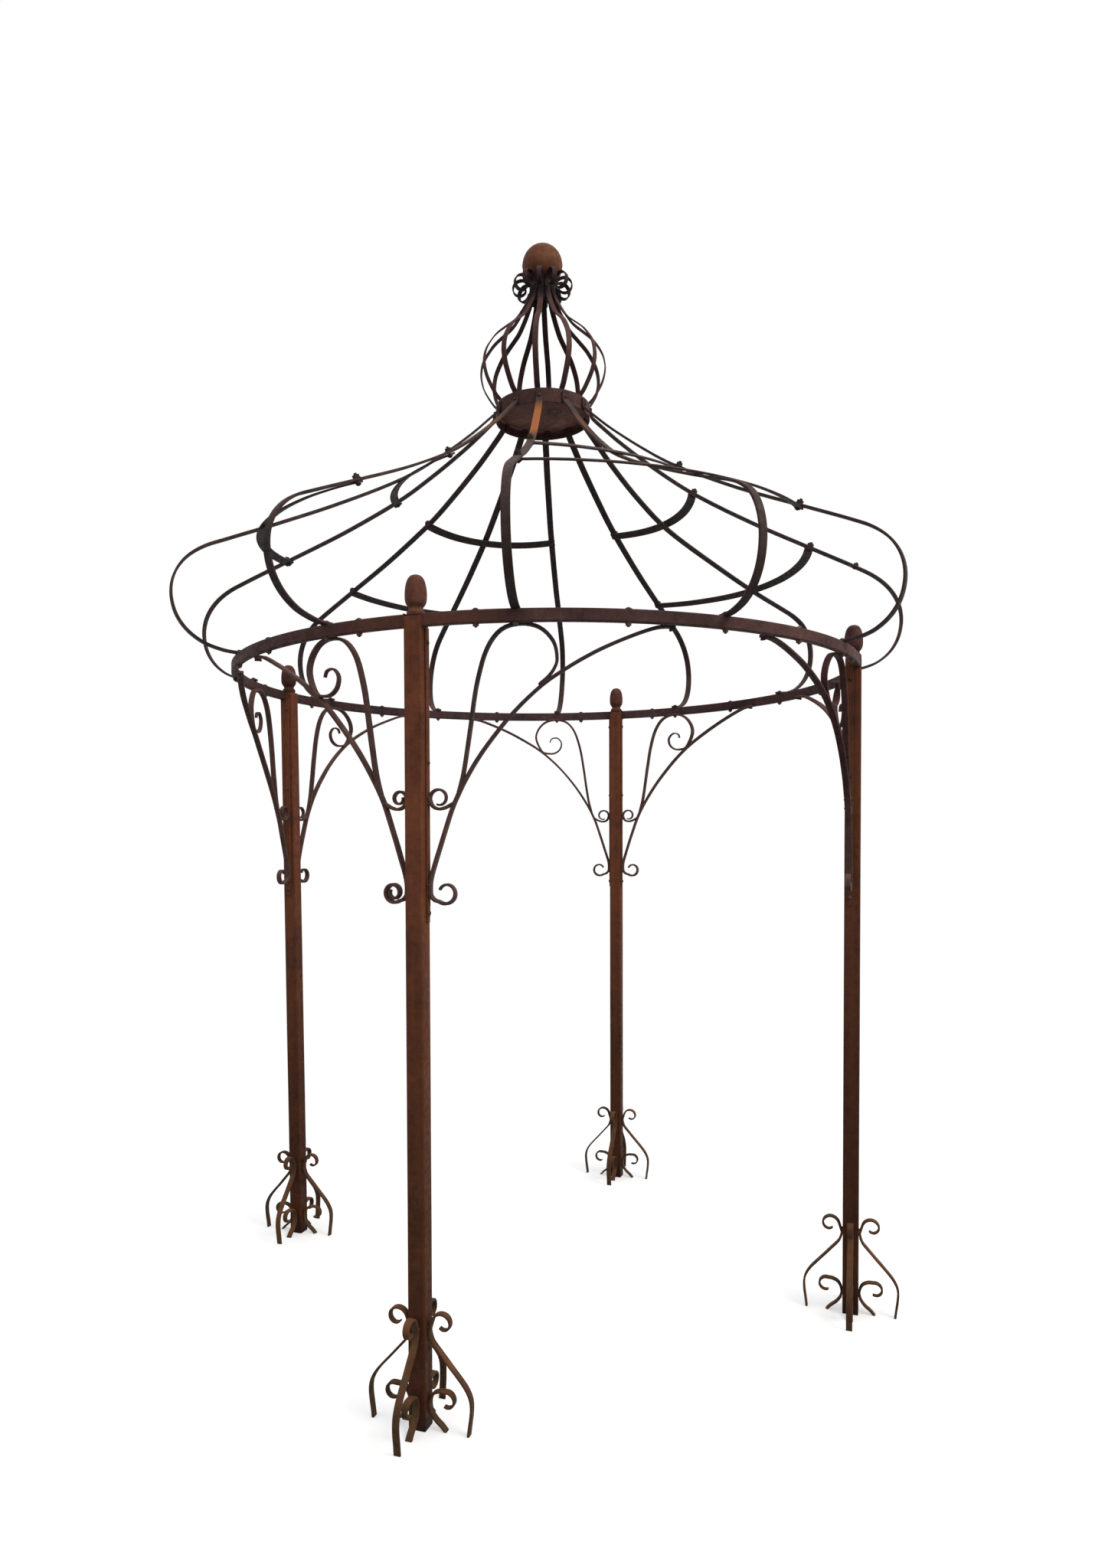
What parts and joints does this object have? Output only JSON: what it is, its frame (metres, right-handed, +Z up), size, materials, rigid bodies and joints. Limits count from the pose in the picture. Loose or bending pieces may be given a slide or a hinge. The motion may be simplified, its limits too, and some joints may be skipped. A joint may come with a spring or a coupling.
{
  "type": "wrought iron gazebo",
  "caption": "Round open garden gazebo of rusted wrought iron: square posts on scroll feet, a ring beam with scroll brackets, an open ribbed dome roof and an onion cage crown with a ball.",
  "frame": {"origin": "centre of the four posts, on the ground", "axes": "+Z up; the posts stand on the diagonals, so the open bays face -Y (front), +X, +Y and -X"},
  "size_m": [2.5842, 2.5487, 3.7656],
  "materials": {
    "post_iron": "rusted, dark brown",
    "finial_iron": "rusted, red-brown",
    "foot_iron": "rusted, with a little moss",
    "ring_iron": "rusted, dark brown",
    "bracket_iron": "rusted, dark brown",
    "roof_iron": "rusted, nearly black-brown",
    "crown_iron": "rusted, dark red-brown",
    "ball_iron": "rusted, orange-brown"
  },
  "bodies": {
    "root": {"post_front_left": "post_iron", "post_front_right": "post_iron", "post_back_right": "post_iron", "post_back_left": "post_iron", "finial_front_left": "finial_iron", "finial_front_right": "finial_iron", "finial_back_right": "finial_iron", "finial_back_left": "finial_iron", "feet_front_left": "foot_iron", "feet_front_right": "foot_iron", "feet_back_right": "foot_iron", "feet_back_left": "foot_iron", "ring_front": "ring_iron", "ring_right": "ring_iron", "ring_back": "ring_iron", "ring_left": "ring_iron", "bracket_front_a": "bracket_iron", "bracket_front_b": "bracket_iron", "bracket_right_a": "bracket_iron", "bracket_right_b": "bracket_iron", "bracket_back_a": "bracket_iron", "bracket_back_b": "bracket_iron", "bracket_left_a": "bracket_iron", "bracket_left_b": "bracket_iron", "rib_front_a": "roof_iron", "rib_front_b": "roof_iron", "rib_front_c": "roof_iron", "rib_right_a": "roof_iron", "rib_right_b": "roof_iron", "rib_right_c": "roof_iron", "rib_back_a": "roof_iron", "rib_back_b": "roof_iron", "rib_back_c": "roof_iron", "rib_left_a": "roof_iron", "rib_left_b": "roof_iron", "rib_left_c": "roof_iron", "hoops_front": "roof_iron", "hoops_right": "roof_iron", "hoops_back": "roof_iron", "hoops_left": "roof_iron", "collar_band": "crown_iron", "collar_plate": "crown_iron", "cage_bars": "crown_iron", "crown_neck": "crown_iron", "crown_ball": "ball_iron"}
  },
  "joints": []
}
